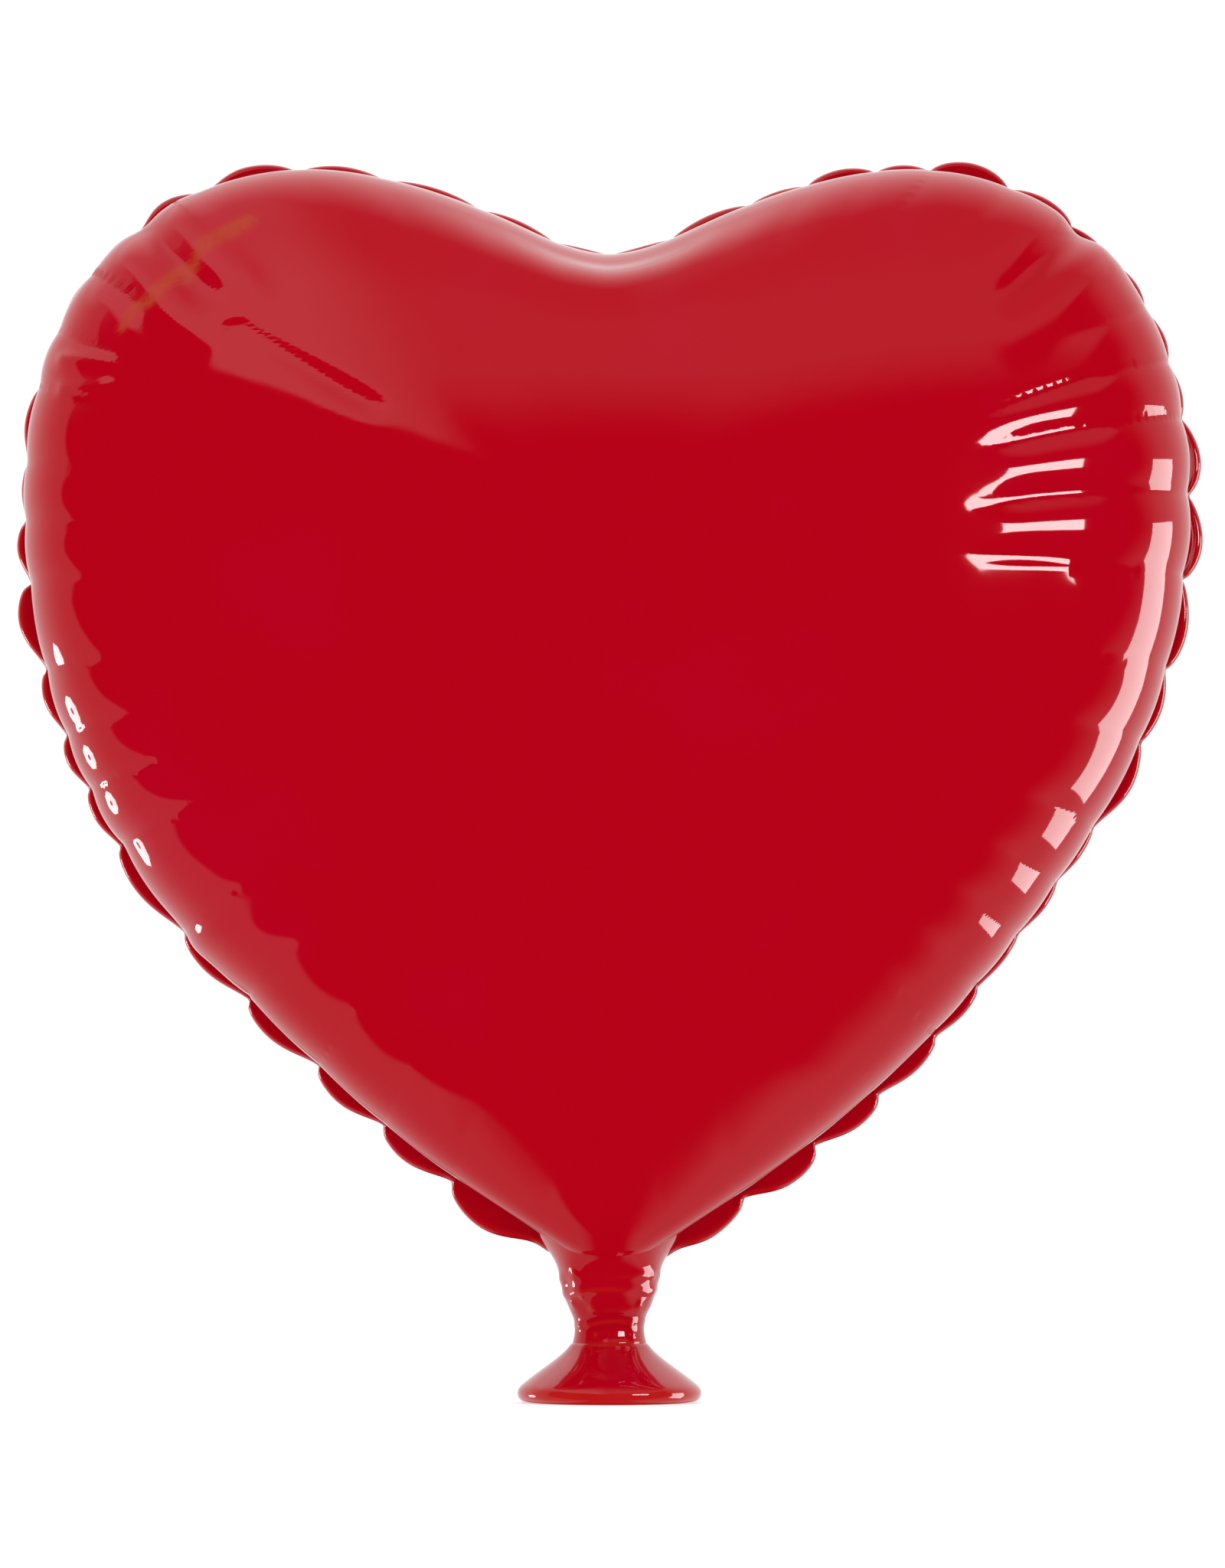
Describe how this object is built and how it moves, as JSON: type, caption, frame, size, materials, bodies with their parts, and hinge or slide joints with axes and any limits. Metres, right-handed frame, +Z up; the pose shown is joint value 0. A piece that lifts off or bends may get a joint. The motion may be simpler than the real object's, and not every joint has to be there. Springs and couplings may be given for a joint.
{
  "type": "heart-shaped balloon ornament",
  "caption": "Hollow glazed ceramic ornament in the form of a heart-shaped foil balloon with a scalloped seam rim and a gathered neck, standing on its flared mouth.",
  "frame": {"origin": "centre of the foot's flat underside", "axes": "+Z up; the front dome faces -Y; +X is to the right seen from the front"},
  "size_m": [0.3089, 0.124, 0.3234],
  "materials": {
    "red_glaze": "high-gloss transparent red glaze over earthenware, thin and orange on sharp edges, dark where it pools"
  },
  "bodies": {
    "root": {"front_shell": "red_glaze", "back_shell": "red_glaze", "neck": "red_glaze", "foot": "red_glaze"}
  },
  "joints": []
}
